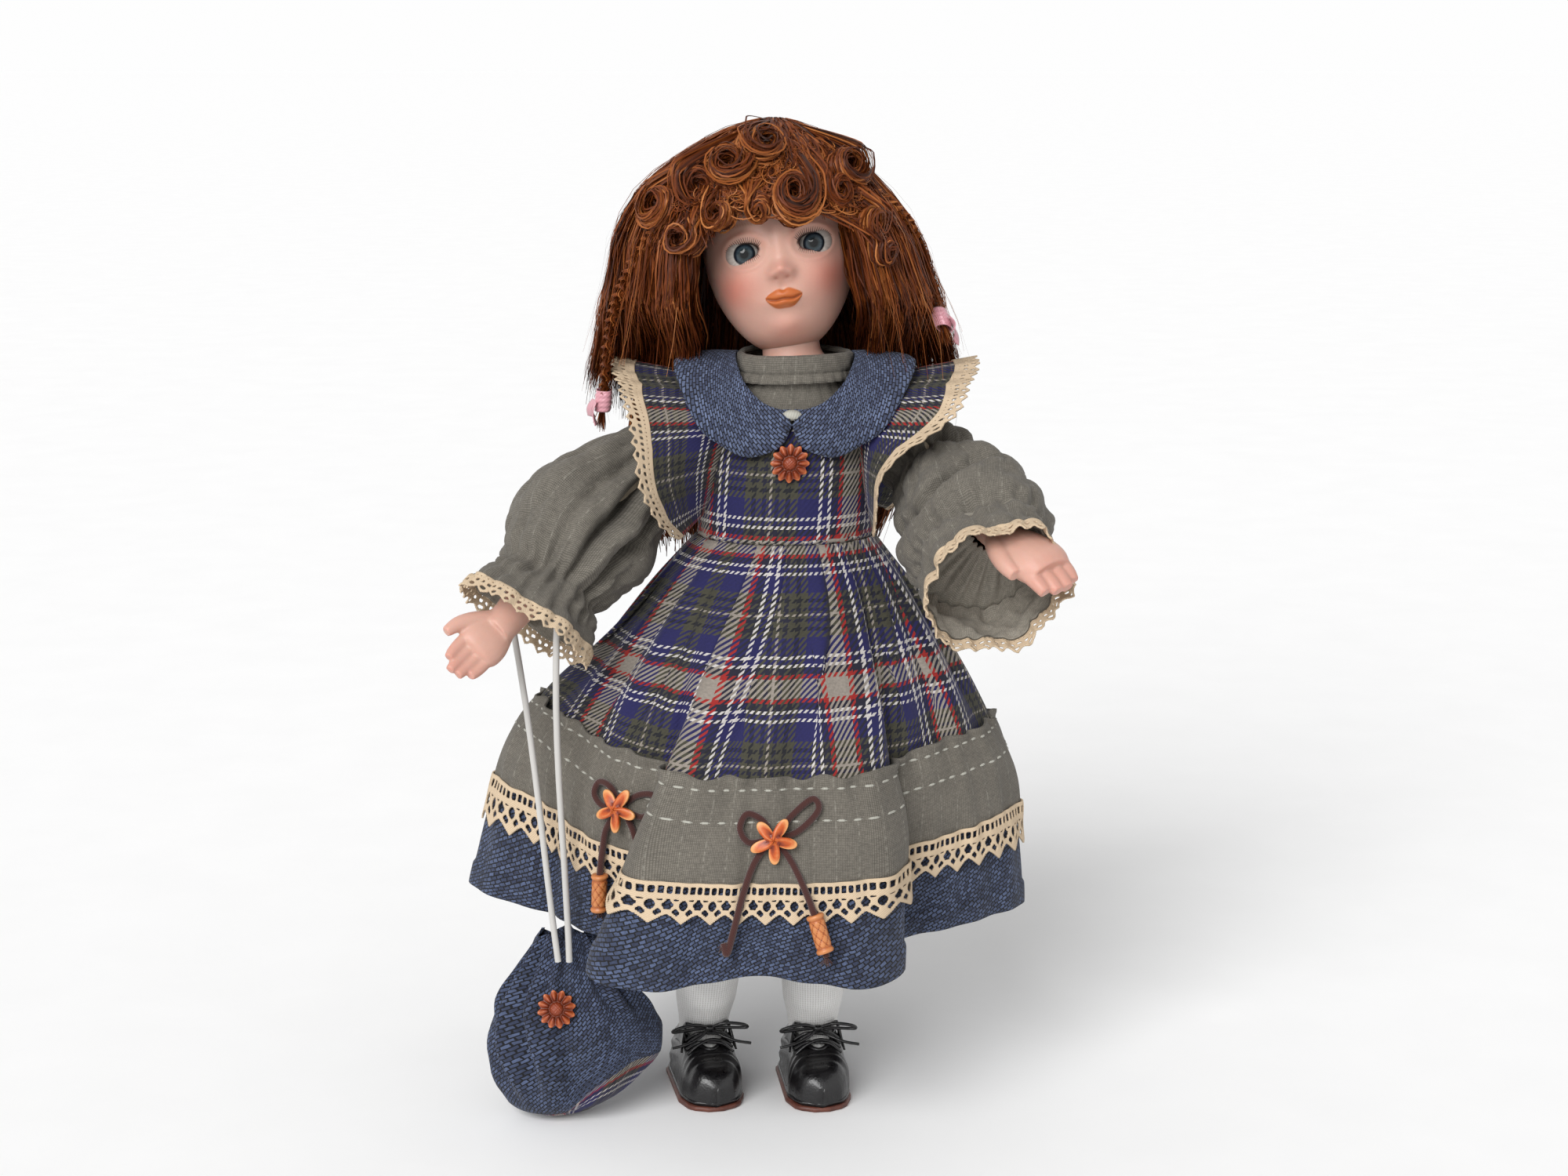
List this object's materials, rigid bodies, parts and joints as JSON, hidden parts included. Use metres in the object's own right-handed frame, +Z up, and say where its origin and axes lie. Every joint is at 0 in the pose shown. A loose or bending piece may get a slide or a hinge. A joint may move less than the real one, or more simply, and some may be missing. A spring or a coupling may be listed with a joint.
{
  "type": "dressed bisque doll",
  "caption": "Standing bisque doll with a jointed cloth-and-china body, red plaited hair, plaid pinafore over a linen blouse, lace and suede trim, black shoes and a drawstring bag on its arm.",
  "frame": {"origin": "on the floor, under the centre of the doll's bounding box", "axes": "+Z up, -Y the way the doll faces, +X to the doll's own left (viewer's right from the front)"},
  "size_m": [0.2387, 0.1948, 0.397],
  "materials": {
    "bisque": "satin",
    "muslin": "matte",
    "glass_eye": "gloss",
    "hair_fibre": "satin",
    "pink_ribbon": "satin",
    "linen": "matte",
    "cream_lace": "matte",
    "plaid": "matte",
    "denim": "matte",
    "rust_button": "satin",
    "suede_cord": "matte",
    "white_knit": "matte",
    "black_leather": "gloss",
    "sole_leather": "satin",
    "white_satin": "satin"
  },
  "bodies": {
    "body": {"torso": "muslin", "neck_tie": "cream_lace", "blouse_body": "linen", "neckband": "linen", "bodice": "plaid", "skirt": "plaid", "skirt_band": "linen", "hem_lace": "cream_lace", "flounce": "denim", "bodice_flower": "rust_button", "front_bow": "suede_cord", "front_star": "rust_button", "front_bead": "rust_button", "side_bow": "suede_cord", "side_star": "rust_button", "side_bead": "rust_button", "collar_left": "denim", "ruffle_left": "plaid", "ruffle_lace_left": "cream_lace", "collar_right": "denim", "ruffle_right": "plaid", "ruffle_lace_right": "cream_lace"},
    "head": {"head": "bisque", "pate": "cream_lace", "wig_cap": "hair_fibre", "wig": "hair_fibre", "fringe": "hair_fibre", "back_hair": "hair_fibre", "eye_left": "glass_eye", "braid_left": "hair_fibre", "ribbon_left": "pink_ribbon", "eye_right": "glass_eye", "braid_right": "hair_fibre", "ribbon_right": "pink_ribbon"},
    "upper_arm_left": {"upper_arm_left": "muslin", "sleeve_left": "linen", "cuff_lace_left": "cream_lace"},
    "forearm_left": {"forearm_left": "bisque"},
    "leg_left": {"thigh_left": "muslin", "lower_leg_left": "bisque", "stocking_left": "white_knit", "shoe_left": "black_leather", "sole_left": "sole_leather", "shoelace_left": "black_leather"},
    "upper_arm_right": {"upper_arm_right": "muslin", "sleeve_right": "linen", "cuff_lace_right": "cream_lace"},
    "forearm_right": {"forearm_right": "bisque"},
    "leg_right": {"thigh_right": "muslin", "lower_leg_right": "bisque", "stocking_right": "white_knit", "shoe_right": "black_leather", "sole_right": "sole_leather", "shoelace_right": "black_leather"},
    "bag": {"bag": "denim", "bag_base": "plaid", "bag_flower": "rust_button", "bag_cord": "white_satin"}
  },
  "joints": [
    {"name": "head_turn", "type": "hinge", "parent": "body", "child": "head", "pos_m": [0.01634, 0.0128, 0.297], "axis": [-0.1108, 0.1228, 0.9862], "range_deg": [-40, 40], "deforming": ["back_hair", "braid_right", "ribbon_right"]},
    {"name": "shoulder_left", "type": "hinge", "parent": "body", "child": "upper_arm_left", "pos_m": [0.05572, 0.0128, 0.273], "axis": [-1, 0, 0], "range_deg": [-25, 60], "deforming": ["ruffle_left", "ruffle_lace_left"]},
    {"name": "shoulder_right", "type": "hinge", "parent": "body", "child": "upper_arm_right", "pos_m": [-0.02569, 0.0128, 0.273], "axis": [-1, 0, 0], "range_deg": [0, 40], "deforming": ["ruffle_right", "ruffle_lace_right"]},
    {"name": "elbow_left", "type": "hinge", "parent": "upper_arm_left", "child": "forearm_left", "pos_m": [0.08356, -0.0052, 0.252], "axis": [-1, 0, 0], "range_deg": [-20, 35], "deforming": ["sleeve_left", "cuff_lace_left"]},
    {"name": "elbow_right", "type": "hinge", "parent": "upper_arm_right", "child": "forearm_right", "pos_m": [-0.06234, -0.0092, 0.243], "axis": [-1, 0, 0], "range_deg": [0, 35], "deforming": ["sleeve_right", "cuff_lace_right"]},
    {"name": "hip_left", "type": "hinge", "parent": "body", "child": "leg_left", "pos_m": [0.02579, 0.0128, 0.178], "axis": [-1, 0, 0], "range_deg": [-20, 30]},
    {"name": "hip_right", "type": "hinge", "parent": "body", "child": "leg_right", "pos_m": [-0.00621, 0.0128, 0.178], "axis": [-1, 0, 0], "range_deg": [-20, 30]},
    {"name": "bag_swing", "type": "hinge", "parent": "forearm_right", "child": "bag", "pos_m": [-0.08854, -0.04464, 0.22682], "axis": [-1, 0, 0], "range_deg": [0, 15]}
  ]
}
